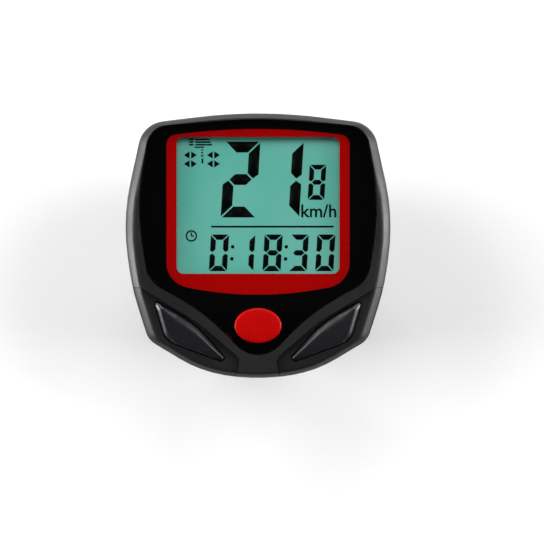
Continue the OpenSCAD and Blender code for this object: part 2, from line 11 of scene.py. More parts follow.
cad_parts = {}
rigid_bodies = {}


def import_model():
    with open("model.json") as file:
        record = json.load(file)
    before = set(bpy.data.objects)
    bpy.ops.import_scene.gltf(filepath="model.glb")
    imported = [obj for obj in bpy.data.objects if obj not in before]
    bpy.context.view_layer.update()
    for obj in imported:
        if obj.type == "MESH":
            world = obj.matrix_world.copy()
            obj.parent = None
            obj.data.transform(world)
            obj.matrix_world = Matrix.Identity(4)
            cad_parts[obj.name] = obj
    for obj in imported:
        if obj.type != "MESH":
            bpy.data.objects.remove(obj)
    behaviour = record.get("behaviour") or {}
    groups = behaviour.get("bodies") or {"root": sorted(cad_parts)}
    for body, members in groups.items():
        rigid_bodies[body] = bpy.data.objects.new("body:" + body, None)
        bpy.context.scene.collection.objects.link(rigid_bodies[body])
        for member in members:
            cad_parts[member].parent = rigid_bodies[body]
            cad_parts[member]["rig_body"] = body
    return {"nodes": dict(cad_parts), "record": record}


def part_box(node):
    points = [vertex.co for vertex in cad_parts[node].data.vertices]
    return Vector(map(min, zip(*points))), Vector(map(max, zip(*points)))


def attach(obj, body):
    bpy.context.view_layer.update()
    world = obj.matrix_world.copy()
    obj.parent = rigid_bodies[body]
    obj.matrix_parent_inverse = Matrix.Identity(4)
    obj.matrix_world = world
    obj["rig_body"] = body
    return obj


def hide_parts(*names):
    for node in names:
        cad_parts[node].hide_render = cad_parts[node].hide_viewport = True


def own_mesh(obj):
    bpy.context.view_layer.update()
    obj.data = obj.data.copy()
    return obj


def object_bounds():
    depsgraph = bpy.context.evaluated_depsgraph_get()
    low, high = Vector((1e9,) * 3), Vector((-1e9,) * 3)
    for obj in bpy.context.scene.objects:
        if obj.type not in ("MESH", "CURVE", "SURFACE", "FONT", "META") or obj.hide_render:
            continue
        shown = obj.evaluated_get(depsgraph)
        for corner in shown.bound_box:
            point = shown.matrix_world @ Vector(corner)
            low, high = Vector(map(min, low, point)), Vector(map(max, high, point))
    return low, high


bl_info = {
    "name": "Cycling Computer",
    "version": (1, 0, 0),
    "blender": (4, 5, 0),
    "location": "View3D > Sidebar > Cycling Computer",
    "description": "Builds the display head, its keys and the handlebar bracket of a cycling computer",
    "category": "Add Mesh",
}

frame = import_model()
cad_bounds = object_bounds()
MM = 0.001
UP = Vector((0, 0, 1))
SAME_PLACE = 1e-6                   # metres within which two heights count as one
MERGE = 0.002 * MM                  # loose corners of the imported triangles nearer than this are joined
SAME_FLAT = math.radians(0.5)       # packed triangles flatter to each other than this become one face

# The outlines below are drawn in millimetres for a head of this size, and fitted to the frame's
DRAWN_SIZE = (52.752, 52.682)
DRAWN_MIDDLE_Y = -0.195
HEAD_LOW, HEAD_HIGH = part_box("front_case")
FIT = [(HEAD_HIGH[i] - HEAD_LOW[i]) / MM / DRAWN_SIZE[i] for i in (0, 1)]
SLOT_OF = {part["node"]: part["material_slot"] for part in frame["record"]["subparts"]}


# ---------------------------------------------------------------- sizes and colours


class HeadSizes(bpy.types.PropertyGroup):
    """Edges of the display head"""

    rounding: FloatProperty(name="Rounding", description="Rounding of the case's sharp edges",
                            default=0.14 * MM, unit="LENGTH", precision=5)
    cover_rounding: FloatProperty(name="Cover rounding", description="Rounding of the corner covers' edges",
                                  default=0.308 * MM, unit="LENGTH", precision=5)
    parting: FloatProperty(name="Parting line", description="Chamfer where the front and rear shells meet",
                           default=0.22 * MM, unit="LENGTH", precision=5)
    lens_rounding: FloatProperty(name="Window rounding", description="Rounding of the window's top edge",
                                 default=0.3 * MM, unit="LENGTH", precision=5)
    shell_colour: FloatVectorProperty(name="Shell", description="Colour of the moulded shells",
                                      subtype="COLOR", default=(0.0055, 0.0055, 0.0064))
    frame_colour: FloatVectorProperty(name="Frame", description="Colour of the frame round the display",
                                      subtype="COLOR", default=(0.31, 0.0007, 0.0007))


class DisplaySizes(bpy.types.PropertyGroup):
    """The display and its figures"""

    lean: FloatProperty(name="Lean", description="Slant of the figures", default=math.radians(3.4),
                        subtype="ANGLE")
    ink_height: FloatProperty(name="Figure height", description="Thickness of the dark segments",
                              default=0.03 * MM, unit="LENGTH", precision=5)
    backing: FloatVectorProperty(name="Backing", description="Colour of the unlit display",
                                 subtype="COLOR", default=(0.043, 0.212, 0.17))
    speed: StringProperty(name="Speed", description="Large figures of the speed", default="21")
    tenths: StringProperty(name="Tenths", description="Small figure of the speed", default="8")
    ride_time: StringProperty(name="Ride time", description="Figures of the lower row", default="0:18:30")
    unit: StringProperty(name="Unit", description="Unit of speed", default="km/h")


class KeySizes(bpy.types.PropertyGroup):
    """The three keys"""

    crown: FloatProperty(name="Crown", description="Rise of a corner key from its edge to its ridge",
                         default=0.9 * MM, unit="LENGTH", precision=5)
    mode_colour: FloatVectorProperty(name="Middle key", description="Colour of the oval key",
                                     subtype="COLOR", default=(0.36, 0.0006, 0.0006))
    colour: FloatVectorProperty(name="Corner keys", description="Colour of the corner keys",
                                subtype="COLOR", default=(0.0055, 0.0055, 0.007))
    dome_radius: FloatProperty(name="Dome radius", description="Radius of the rubber dome under a key",
                               default=2.7 * MM, unit="LENGTH", precision=5)
    sheet: FloatProperty(name="Keypad sheet", description="Thickness of the rubber sheet round the domes",
                         default=0.8 * MM, unit="LENGTH", precision=5)


class BracketSizes(bpy.types.PropertyGroup):
    """The handlebar bracket"""

    rounding: FloatProperty(name="Rounding", description="Rounding of the bracket's edges",
                            default=0.35 * MM, unit="LENGTH", precision=5)
    bar_radius: FloatProperty(name="Handlebar radius", description="Radius of the handlebar under the pad",
                              default=15.9 * MM, unit="LENGTH", precision=5)
    pad: FloatProperty(name="Pad thickness", description="Thickness of the rubber pad at its ribs",
                       default=1.2 * MM, unit="LENGTH", precision=5)
    ribs: IntProperty(name="Ribs", description="Number of ribs across the rubber pad", default=13)
    groove: FloatProperty(name="Groove", description="Depth of the grooves between the ribs",
                          default=0.35 * MM, unit="LENGTH", precision=5)


class StageSizes(bpy.types.PropertyGroup):
    """Floor, lamps and camera"""

    distance: FloatProperty(name="Distance", description="Camera to the face of the head",
                            default=0.453, unit="LENGTH")
    focal: FloatProperty(name="Focal length", description="Focal length of the lens in mm", default=150.0)
    floor_colour: FloatVectorProperty(name="Floor", description="Colour of the floor", subtype="COLOR",
                                      default=(0.86, 0.86, 0.86))


def sizes(group):
    """The values that the panel shows for one group"""
    return getattr(bpy.context.scene, group)


# ---------------------------------------------------------------- shared shader effects


def add(tree, kind, inputs=None, **settings):
    """Adds a node, sets its properties, and gives each input a value or a link"""
    node = tree.nodes.new(kind)
    for name, value in settings.items():
        setattr(node, name, value)
    for name, value in (inputs or {}).items():
        if isinstance(value, bpy.types.NodeSocket):
            tree.links.new(value, node.inputs[name])
        else:
            node.inputs[name].default_value = value
    return node


def new_group(name, inputs, outputs):
    """Starts a node group with float or vector inputs and float outputs"""
    group = bpy.data.node_groups.new(name, "ShaderNodeTree")
    for label, default in inputs.items():
        kind = "NodeSocketVector" if default is None else "NodeSocketFloat"
        socket = group.interface.new_socket(label, in_out="INPUT", socket_type=kind)
        if default is not None:
            socket.default_value = default
    for label in outputs:
        group.interface.new_socket(label, in_out="OUTPUT", socket_type="NodeSocketFloat")
    return group, group.nodes.new("NodeGroupInput").outputs, group.nodes.new("NodeGroupOutput").inputs


def maths(tree, operation, *values):
    """The output of a Math node"""
    node = tree.nodes.new("ShaderNodeMath")
    node.operation = operation
    for socket, value in zip(node.inputs, values):
        if isinstance(value, bpy.types.NodeSocket):
            tree.links.new(value, socket)
        else:
            socket.default_value = value
    return node.outputs[0]


def spread(tree, value, low, high, new_low=0.0, new_high=1.0):
    """Maps a value from one range to another, and keeps it inside"""
    return add(tree, "ShaderNodeMapRange", {"Value": value, "From Min": low, "From Max": high,
                                            "To Min": new_low, "To Max": new_high}).outputs["Result"]


def moulded_grain():
    """Spark-eroded texture of a moulded surface, in grains per millimetre"""
    tree, given, out = new_group("moulded_grain", {"Vector": None, "Grains": 6.0}, ["Height", "Tone"])
    per_metre = maths(tree, "MULTIPLY", given["Grains"], 1000.0)
    cells = add(tree, "ShaderNodeTexVoronoi", {"Vector": given["Vector"], "Scale": per_metre},
                feature="SMOOTH_F1")
    soft = add(tree, "ShaderNodeTexNoise", {"Vector": given["Vector"], "Scale": per_metre, "Detail": 3.0})
    height = maths(tree, "MULTIPLY", cells.outputs["Distance"], soft.outputs["Fac"])
    tree.links.new(height, out["Height"])
    tree.links.new(spread(tree, soft.outputs["Fac"], 0.35, 0.65), out["Tone"])
    return tree


def edge_wear():
    """Mask of the worn and polished edges, broken up along their length"""
    tree, given, out = new_group("edge_wear", {"Vector": None, "Radius": 0.0002, "Breaks": 900.0}, ["Mask"])
    rounded = add(tree, "ShaderNodeBevel", {"Radius": given["Radius"]}, samples=4)
    flat = tree.nodes.new("ShaderNodeNewGeometry").outputs["Normal"]
    facing = add(tree, "ShaderNodeVectorMath", {0: rounded.outputs[0], 1: flat}, operation="DOT_PRODUCT")
    edge = spread(tree, facing.outputs["Value"], 0.995, 0.8)
    breaks = add(tree, "ShaderNodeTexNoise", {"Vector": given["Vector"], "Scale": given["Breaks"],
                                              "Detail": 4.0})
    broken = spread(tree, breaks.outputs["Fac"], 0.42, 0.62)
    tree.links.new(maths(tree, "MULTIPLY", edge, broken), out["Mask"])
    return tree


def handling():
    """Mask of the smudges that handling and weather leave, from 0 where it is clean to 1"""
    tree, given, out = new_group("handling", {"Vector": None, "Smudges": 90.0}, ["Mask"])
    broad = add(tree, "ShaderNodeTexNoise", {"Vector": given["Vector"], "Scale": given["Smudges"],
                                             "Detail": 5.0, "Distortion": 0.6})
    fine = add(tree, "ShaderNodeTexNoise", {"Vector": given["Vector"],
                                            "Scale": maths(tree, "MULTIPLY", given["Smudges"], 9.0)})
    both = maths(tree, "MULTIPLY_ADD", fine.outputs["Fac"], 0.35, broad.outputs["Fac"])
    tree.links.new(spread(tree, both, 0.5, 0.9), out["Mask"])
    return tree


def hairlines():
    """Fine scratches that run one way, as a mask"""
    tree, given, out = new_group("hairlines", {"Vector": None, "Lines": 4000.0}, ["Mask"])
    drawn = add(tree, "ShaderNodeMapping", {"Vector": given["Vector"], "Rotation": (0, 0, 0.5),
                                            "Scale": (1.0, 0.02, 1.0)})
    lines = add(tree, "ShaderNodeTexNoise", {"Vector": drawn.outputs[0], "Scale": given["Lines"],
                                             "Detail": 2.0})
    tree.links.new(spread(tree, lines.outputs["Fac"], 0.4, 0.75), out["Mask"])
    return tree


EFFECTS = {}


def effect(tree, build, **inputs):
    """Places a shared effect in a material, on Object coordinates, and returns its outputs"""
    if build.__name__ not in EFFECTS:
        EFFECTS[build.__name__] = build()
    node = tree.nodes.new("ShaderNodeGroup")
    node.node_tree = EFFECTS[build.__name__]
    tree.links.new(place(tree), node.inputs["Vector"])
    for name, value in inputs.items():
        node.inputs[name].default_value = value
    return node.outputs


def place(tree):
    """The Object coordinates of a material"""
    for node in tree.nodes:
        if node.type == "TEX_COORD":
            return node.outputs["Object"]
    return tree.nodes.new("ShaderNodeTexCoord").outputs["Object"]


# ---------------------------------------------------------------- finishes


FINISHES = {}


def start_finish(name, colour, roughness, **sockets):
    """A new material with its Principled shader's own values set"""
    material = bpy.data.materials.new(name)
    material.use_nodes = True
    material.diffuse_color = (*colour, 1)
    tree = material.node_tree
    shader = tree.nodes["Principled BSDF"]
    shader.inputs["Base Color"].default_value = (*colour, 1)
    shader.inputs["Roughness"].default_value = roughness
    for label, value in sockets.items():
        shader.inputs[label.replace("_", " ")].default_value = value
    FINISHES[name] = material
    return tree, shader


def blend_colours(tree, mask, low, high):
    """Mixes two colours, or a colour and a socket, by a mask"""
    mix = add(tree, "ShaderNodeMix", {"Factor": mask}, data_type="RGBA")
    for socket, value in ((mix.inputs[6], low), (mix.inputs[7], high)):
        if isinstance(value, bpy.types.NodeSocket):
            tree.links.new(value, socket)
        else:
            socket.default_value = (*value, 1)
    return mix.outputs[2]


def bump(tree, shader, height, strength, distance):
    """Raises a height mask on a shader, by a distance in metres"""
    node = add(tree, "ShaderNodeBump", {"Height": height, "Strength": strength, "Distance": distance})
    tree.links.new(node.outputs[0], shader.inputs["Normal"])


def lighter(colour, factor):
    """A colour made paler, or darker below 1, with a little grey so that black changes too"""
    return tuple(max(0.0, min(1.0, c * factor + 0.006 * (factor - 1))) for c in colour)


def moulded(name, colour, roughness, grains=6.0, depth=0.012, wear=0.5, smudge=0.12, mottle=0.15,
            **sockets):
    """Moulded plastic or rubber: grain to a depth in mm, handled patches and edges rubbed paler"""
    tree, shader = start_finish(name, colour, roughness, **sockets)
    grain = effect(tree, moulded_grain, Grains=grains)
    touched = effect(tree, handling)["Mask"]
    worn = effect(tree, edge_wear)["Mask"]
    toned = blend_colours(tree, grain["Tone"], lighter(colour, 1 - mottle), lighter(colour, 1 + mottle))
    faded = blend_colours(tree, maths(tree, "MULTIPLY", touched, 0.3), toned, lighter(colour, 1.6))
    rubbed = blend_colours(tree, maths(tree, "MULTIPLY", worn, wear), faded, lighter(colour, 2.4))
    tree.links.new(rubbed, shader.inputs["Base Color"])
    rough = maths(tree, "MULTIPLY_ADD", touched, -smudge, roughness + smudge / 2)
    rough = maths(tree, "MULTIPLY_ADD", grain["Tone"], 0.06, rough)
    tree.links.new(maths(tree, "MULTIPLY_ADD", worn, -0.1, rough), shader.inputs["Roughness"])
    bump(tree, shader, grain["Height"], 0.5, depth * MM)


def printed(name, colour, roughness, speckle=0.05, **sockets):
    """Flat print behind the window: a faint speckle and slow changes of gloss"""
    tree, shader = start_finish(name, colour, roughness, **sockets)
    grain = effect(tree, moulded_grain, Grains=14.0)
    touched = effect(tree, handling, Smudges=60.0)["Mask"]
    speck = blend_colours(tree, grain["Tone"], lighter(colour, 1 - speckle), lighter(colour, 1 + speckle))
    tree.links.new(blend_colours(tree, maths(tree, "MULTIPLY", touched, 0.5), speck, lighter(colour, 0.9)),
                   shader.inputs["Base Color"])
    tree.links.new(maths(tree, "MULTIPLY_ADD", touched, 0.08, roughness), shader.inputs["Roughness"])
    bump(tree, shader, grain["Height"], 0.25, 0.004 * MM)


def metal(name, colour, roughness, lines=5000.0, tarnish=0.35):
    """Plated or drawn metal: hairlines, dull patches and bright edges"""
    tree, shader = start_finish(name, colour, roughness, Metallic=1.0)
    drawn = effect(tree, hairlines, Lines=lines)["Mask"]
    dull = effect(tree, handling, Smudges=260.0)["Mask"]
    worn = effect(tree, edge_wear, Radius=0.0001)["Mask"]
    aged = blend_colours(tree, maths(tree, "MULTIPLY", dull, tarnish), colour, lighter(colour, 0.55))
    tree.links.new(blend_colours(tree, worn, aged, lighter(colour, 1.15)), shader.inputs["Base Color"])
    rough = maths(tree, "MULTIPLY_ADD", drawn, 0.14, roughness)
    tree.links.new(maths(tree, "MULTIPLY_ADD", dull, 0.16, rough), shader.inputs["Roughness"])
    bump(tree, shader, drawn, 0.2, 0.006 * MM)


def window_clear():
    """Clear acrylic that lets lamps through to the display"""
    tree, shader = start_finish("window_clear", (1, 1, 1), 0.02, IOR=1.49)
    shader.inputs["Transmission Weight"].default_value = 1.0
    lines = effect(tree, hairlines, Lines=2600.0)["Mask"]
    touched = effect(tree, handling, Smudges=70.0)["Mask"]
    rough = maths(tree, "MULTIPLY", maths(tree, "MULTIPLY", lines, touched), 0.07)
    tree.links.new(maths(tree, "ADD", rough, 0.015), shader.inputs["Roughness"])
    clear = add(tree, "ShaderNodeBsdfTransparent", {"Color": (0.97, 0.98, 0.98, 1)})
    shadow = add(tree, "ShaderNodeLightPath").outputs["Is Shadow Ray"]
    mix = tree.nodes.new("ShaderNodeMixShader")
    tree.links.new(shadow, mix.inputs[0])
    tree.links.new(shader.outputs[0], mix.inputs[1])
    tree.links.new(clear.outputs[0], mix.inputs[2])
    tree.links.new(mix.outputs[0], tree.nodes["Material Output"].inputs["Surface"])


def display_film(colour):
    """The unlit display: a fine cell pattern, a slow drift of tone and a satin front"""
    tree, shader = start_finish("display_film", colour, 0.34)
    cells = add(tree, "ShaderNodeTexNoise", {"Vector": place(tree), "Scale": 3800.0, "Detail": 2.0})
    drift = add(tree, "ShaderNodeTexNoise", {"Vector": place(tree), "Scale": 45.0, "Detail": 2.0})
    fleck = blend_colours(tree, spread(tree, cells.outputs["Fac"], 0.3, 0.7), lighter(colour, 0.93),
                          lighter(colour, 1.06))
    pale = tuple(c * 0.9 + 0.05 for c in colour)
    toned = blend_colours(tree, spread(tree, drift.outputs["Fac"], 0.35, 0.7, 0, 0.5), fleck, pale)
    tree.links.new(toned, shader.inputs["Base Color"])
    tree.links.new(spread(tree, drift.outputs["Fac"], 0.3, 0.7, 0.3, 0.42), shader.inputs["Roughness"])
    bump(tree, shader, cells.outputs["Fac"], 0.15, 0.003 * MM)


def circuit_board():
    """Green solder mask over tracks that show as paler lines"""
    tree, shader = start_finish("circuit_board", (0.01, 0.16, 0.06), 0.3)
    tracks = add(tree, "ShaderNodeTexBrick", {
        "Vector": place(tree), "Scale": 480.0, "Mortar Size": 0.06, "Color1": (0.01, 0.15, 0.055, 1),
        "Color2": (0.012, 0.17, 0.06, 1), "Mortar": (0.03, 0.3, 0.11, 1)})
    tree.links.new(tracks.outputs["Color"], shader.inputs["Base Color"])
    touched = effect(tree, handling)["Mask"]
    tree.links.new(maths(tree, "MULTIPLY_ADD", touched, 0.2, 0.22), shader.inputs["Roughness"])
    bump(tree, shader, tracks.outputs["Fac"], 0.4, 0.02 * MM)


def pale_floor(colour):
    """Matt board with a faint tooth"""
    tree, shader = start_finish("pale_floor", colour, 0.9)
    tooth = add(tree, "ShaderNodeTexNoise", {"Vector": place(tree), "Scale": 300.0, "Detail": 4.0})
    tree.links.new(blend_colours(tree, tooth.outputs["Fac"], lighter(colour, 0.99), colour),
                   shader.inputs["Base Color"])
    bump(tree, shader, tooth.outputs["Fac"], 0.1, 0.05 * MM)


def mix_finishes():
    """Makes every material once, with the colours that the panel sets"""
    head = sizes("cc_head")
    keys = sizes("cc_keys")
    shell = tuple(head.shell_colour)
    moulded("shell_black", shell, 0.42, wear=0.35, Specular_IOR_Level=0.42)
    moulded("wing_black", lighter(shell, 1.05), 0.4, grains=7.0, wear=0.3, Specular_IOR_Level=0.35)
    moulded("key_black", tuple(keys.colour), 0.33, grains=8.0, depth=0.008, wear=0.4)
    moulded("key_red", tuple(keys.mode_colour), 0.3, grains=9.0, depth=0.003, wear=0.05, mottle=0.04,
            Specular_IOR_Level=0.12)
    moulded("bracket_black", lighter(shell, 0.95), 0.52, grains=4.5, depth=0.02, wear=0.45)
    moulded("rubber_black", (0.02, 0.02, 0.021), 0.72, grains=5.0, depth=0.02, wear=0.3)
    moulded("silicone_grey", (0.6, 0.6, 0.58), 0.55, grains=7.0, wear=0.05, Subsurface_Weight=0.1)
    moulded("holder_white", (0.78, 0.78, 0.74), 0.5, grains=6.0, wear=0.05)
    moulded("connector_pink", (0.62, 0.33, 0.33), 0.6, grains=10.0, wear=0.05)
    moulded("resin_black", (0.015, 0.015, 0.015), 0.2, grains=2.0, wear=0.1)
    moulded("chip_tan", (0.42, 0.3, 0.18), 0.5, grains=9.0, wear=0.3)
    printed("print_black", (0.0012, 0.0012, 0.0014), 0.2, Specular_IOR_Level=0.02)
    printed("frame_red", tuple(head.frame_colour), 0.24, Specular_IOR_Level=0.06)
    printed("figure_ink", (0.0015, 0.0022, 0.002), 0.24, Specular_IOR_Level=0.02)
    metal("steel_bright", (0.62, 0.63, 0.64), 0.22)
    metal("contact_gold", (0.83, 0.6, 0.26), 0.2)
    metal("reflector_foil", (0.7, 0.74, 0.73), 0.35, lines=1500.0)
    window_clear()
    display_film(tuple(sizes("cc_display").backing))
    circuit_board()
    pale_floor(tuple(sizes("cc_stage").floor_colour))


# Slots that share another slot's finish; every other slot has a finish of its own name
SHARED_FINISH = {
    "carbon": "rubber_black", "silicone": "silicone_grey", "lcd_glass": "window_clear",
    "lcd_film": "display_film", "reflector": "reflector_foil", "zebra_pink": "connector_pink",
    "board_green": "circuit_board", "epoxy_black": "resin_black", "can_steel": "steel_bright",
    "screw_steel": "steel_bright", "cell_steel": "steel_bright", "spring_steel": "steel_bright",
    "seal_rubber": "rubber_black", "pad_rubber": "rubber_black",
}


def finish_of(node):
    """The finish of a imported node"""
    slot = SLOT_OF[node]
    return FINISHES[SHARED_FINISH.get(slot, slot)]


# ---------------------------------------------------------------- making pieces


def copy_of(node):
    """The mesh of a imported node, with its loose triangles merged and its flat faces joined up"""
    bm = bmesh.new()
    bm.from_mesh(frame["nodes"][node].data)
    bmesh.ops.remove_doubles(bm, verts=bm.verts, dist=MERGE)
    bmesh.ops.dissolve_limit(bm, angle_limit=SAME_FLAT, verts=bm.verts, edges=bm.edges)
    return bm


def round_edges(obj, width, segments=3, angle=34):
    """Rounds the edges sharper than an angle in degrees, and keeps the flats flat"""
    bevel = obj.modifiers.new("Edge rounding", "BEVEL")
    bevel.width = width
    bevel.segments = segments
    bevel.limit_method = "ANGLE"
    bevel.angle_limit = math.radians(angle)
    bevel.use_clamp_overlap = True
    flats = obj.modifiers.new("Flat faces", "WEIGHTED_NORMAL")
    flats.keep_sharp = True


def make_piece(name, bm, node, finish=None, rounding=0.0, segments=3, angle=34, replaces=()):
    """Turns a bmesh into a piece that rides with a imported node's body and has its slot's finish"""
    mesh = bpy.data.meshes.new(name)
    bm.to_mesh(mesh)
    bm.free()
    mesh.shade_smooth()
    obj = bpy.data.objects.new(name, mesh)
    bpy.context.scene.collection.objects.link(obj)
    mesh.materials.append(FINISHES[finish] if finish else finish_of(node))
    if rounding:
        round_edges(obj, rounding, segments, angle)
    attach(obj, frame["nodes"][node]["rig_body"])
    if replaces:
        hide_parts(*replaces)
    return obj


def on_head(x, y, z=0.0):
    """A point of the head, from its drawn millimetres"""
    return Vector((x * FIT[0] * MM, (y - DRAWN_MIDDLE_Y) * FIT[1] * MM, z))


# ---------------------------------------------------------------- display figures


SEGMENTS_OF = {"0": "abcdef", "1": "bc", "2": "abdeg", "3": "abcdg", "4": "bcfg", "5": "acdfg",
               "6": "acdefg", "7": "abc", "8": "abcdefg", "9": "abcdfg"}


def segment_corners(width, height, thick, gap):
    """Corners of the seven segments of one figure, about its centre, with gaps between them"""
    x, y, half = width / 2, height / 2, thick / 2
    top = [(-x + gap, y), (x - gap, y), (x - thick - gap, y - thick), (-x + thick + gap, y - thick)]
    inner = x - thick
    side = [(x, y - gap), (x, half * 0.9), (x - half, gap), (inner, half + gap), (inner, y - thick - gap)]
    middle = [(-x + half + gap, 0), (-inner + gap, half), (inner - gap, half), (x - half - gap, 0),
              (inner - gap, -half), (-inner + gap, -half)]

    def turned(corners, sx, sy):
        return [(px * sx, py * sy) for px, py in corners]

    return {"a": top, "b": side, "c": turned(side, 1, -1), "d": turned(top, 1, -1), "e": turned(side, -1, -1),
            "f": turned(side, -1, 1), "g": middle}


def display_face():
    """Height of the display's front"""
    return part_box("lcd_polariser")[1].z


def ink_face(bm, corners, centre, lean=0.0):
    """One dark area of the display"""
    verts = [bm.verts.new(on_head(centre[0] + px + py * math.tan(lean), centre[1] + py, display_face()))
             for px, py in corners]
    bm.faces.new(verts)


def write_figures(bm, text, places, size, thick, lean):
    """Writes figures centred on the places given"""
    shapes = segment_corners(*size, thick, 0.1 + thick * 0.06)
    for figure, centre in zip(text, places):
        for name in SEGMENTS_OF[figure]:
            ink_face(bm, shapes[name], centre, lean)


def ink_box(bm, x, y, width, height):
    """A dark bar about its centre"""
    ink_face(bm, [(-width / 2, -height / 2), (width / 2, -height / 2), (width / 2, height / 2),
                  (-width / 2, height / 2)], (x, y))


def draw_signs(bm):
    """The divider and the pick-up's signal: arrowheads, bars and a dotted stem, with no lettering"""
    ink_box(bm, 2.85, 3.6, 24.4, 0.36)
    for x in (-13.5, -8.9):
        for y in (17.88, 16.13):
            for side in (-1, 1):
                ink_face(bm, [(1.28 * side, 0), (0.16 * side, 0.72), (0.16 * side, -0.72)], (x, y))
    for i in range(3):
        bar, row = 2.8 + 0.25 * i, 20.98 - 0.52 * i
        ink_box(bm, -13.3, row, 0.88, 0.3)
        ink_box(bm, -12.5 + bar / 2, row, bar, 0.3)
        ink_box(bm, -11.15, 18.9 - 0.58 * i, 0.36 + 0.1 * i, 0.26)
    ink_box(bm, -11.7, 19.45, 1.9, 0.26)
    ink_box(bm, -11.1, 16.7, 0.34, 0.9)


def draw_clock(bm, x, y, radius):
    """A clock face: a ring and two hands"""
    ring, hand = 0.28, 0.24
    rims = [bmesh.ops.create_circle(bm, segments=32, radius=r * MM)["verts"] for r in (radius, radius - ring)]
    for rim in rims:
        bmesh.ops.translate(bm, verts=rim, vec=on_head(x, y, display_face()))
    bmesh.ops.bridge_loops(bm, edges=list({e for rim in rims for v in rim for e in v.link_edges}))
    ink_box(bm, x, y + radius * 0.3, hand, radius * 0.6)
    ink_box(bm, x + radius * 0.22, y, radius * 0.5, hand)


def draw_colon(bm, x, y, lean):
    """Two round dots"""
    for dy in (-1.2, 1.2):
        dot = bmesh.ops.create_circle(bm, cap_ends=True, segments=12, radius=0.36 * MM)["verts"]
        bmesh.ops.translate(bm, verts=dot, vec=on_head(x + dy * math.tan(lean), y + dy, display_face()))


def write_unit(bm, text, x, y, size):
    """The unit of speed in a plain face"""
    curve = bpy.data.curves.new("unit", "FONT")
    curve.body = text
    curve.size = size * MM
    curve.align_x = "CENTER"
    curve.align_y = "CENTER"
    curve.resolution_u = 3
    curve.offset = 0.012 * curve.size
    letters = bpy.data.objects.new("unit", curve)
    bpy.context.scene.collection.objects.link(letters)
    bpy.context.view_layer.update()
    mesh = bpy.data.meshes.new_from_object(letters)
    mesh.transform(Matrix.Translation(on_head(x, y, display_face())))
    bm.from_mesh(mesh)
    bpy.data.objects.remove(letters)
    bpy.data.meshes.remove(mesh)


# ---------------------------------------------------------------- operators


class MixFinishes(bpy.types.Operator):
    """Make the shared effects and the materials"""

    bl_idname = "cc.mix_finishes"
    bl_label = "Finishes"

    def execute(self, context):
        mix_finishes()
        return {"FINISHED"}


class PaintFrame(bpy.types.Operator):
    """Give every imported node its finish, rounded edges and smooth flats"""

    bl_idname = "cc.paint_frame"
    bl_label = "Packed nodes"

    def execute(self, context):
        for name, node in frame["nodes"].items():
            node.data.materials.clear()
            node.data.materials.append(finish_of(name))
            node.data.shade_smooth()
            weld = node.modifiers.new("Merge", "WELD")
            weld.merge_threshold = MERGE
            join = node.modifiers.new("Join flats", "DECIMATE")
            join.decimate_type = "DISSOLVE"
            join.angle_limit = SAME_FLAT
            round_edges(node, 0.05 * MM, segments=2, angle=40)
        return {"FINISHED"}


class BuildShells(bpy.types.Operator):
    """Front shell, rear shell and the two corner covers"""

    bl_idname = "cc.build_shells"
    bl_label = "Shells"

    def execute(self, context):
        head = sizes("cc_head")
        for name, node in (("front_shell", "front_case"), ("rear_shell", "rear_case"),
                           ("left_cover", "left_wing"), ("right_cover", "right_wing")):
            bm = copy_of(node)
            if name.endswith("shell"):
                self.ease_parting_line(bm, head.parting)
                make_piece(name, bm, node, rounding=head.rounding, replaces=[node])
            else:
                make_piece(name, bm, node, rounding=head.cover_rounding, replaces=[node])
        return {"FINISHED"}

    def ease_parting_line(self, bm, width):
        """Chamfers the outer edge where the two shells meet"""
        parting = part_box("front_case")[0].z
        left = {e for e in bm.edges if all(abs(v.co.z - parting) < SAME_PLACE for v in e.verts)
                and any(abs(f.normal.z) < 0.3 for f in e.link_faces)}
        loops = []
        while left:
            loop, found = set(), [left.pop()]
            while found:
                edge = found.pop()
                loop.add(edge)
                near = {n for v in edge.verts for n in v.link_edges if n in left}
                left -= near
                found.extend(near)
            loops.append(loop)
        outer = max(loops, key=lambda loop: max(v.co.x for e in loop for v in e.verts))
        bmesh.ops.bevel(bm, geom=list(outer), offset=width, offset_type="OFFSET", segments=1, profile=0.5,
                        affect="EDGES", clamp_overlap=True, material=-1)


class BuildWindow(bpy.types.Operator):
    """Clear window with a polished edge, and the print and frame behind it"""

    bl_idname = "cc.build_window"
    bl_label = "Window"

    def execute(self, context):
        head = sizes("cc_head")
        bm = copy_of("lens")
        low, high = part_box("lens")
        air_gap, back_zone = 0.03 * MM, 0.1 * MM
        for vert in bm.verts:
            if vert.co.z < low.z + back_zone:
                vert.co.z += air_gap
        key = sum(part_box("mode_button"), Vector()) / 2
        key_opening, front_zone = 5.3 * MM, 0.01 * MM
        rim = [e for e in bm.edges if all(v.co.z > high.z - front_zone for v in e.verts)
               and any(abs(f.normal.z) < 0.5 for f in e.link_faces)
               and (e.verts[0].co - key).xy.length > key_opening]
        bmesh.ops.bevel(bm, geom=rim, offset=head.lens_rounding, offset_type="OFFSET", segments=4,
                        profile=0.5, affect="EDGES", clamp_overlap=True, material=-1)
        window = make_piece("window", bm, "lens", replaces=["lens"])
        window.modifiers.new("Flat faces", "WEIGHTED_NORMAL").keep_sharp = True
        for name, node in (("window_print", "black_film"), ("display_frame", "red_frame")):
            make_piece(name, copy_of(node), node, rounding=0.03 * MM, segments=2, replaces=[node])
        return {"FINISHED"}


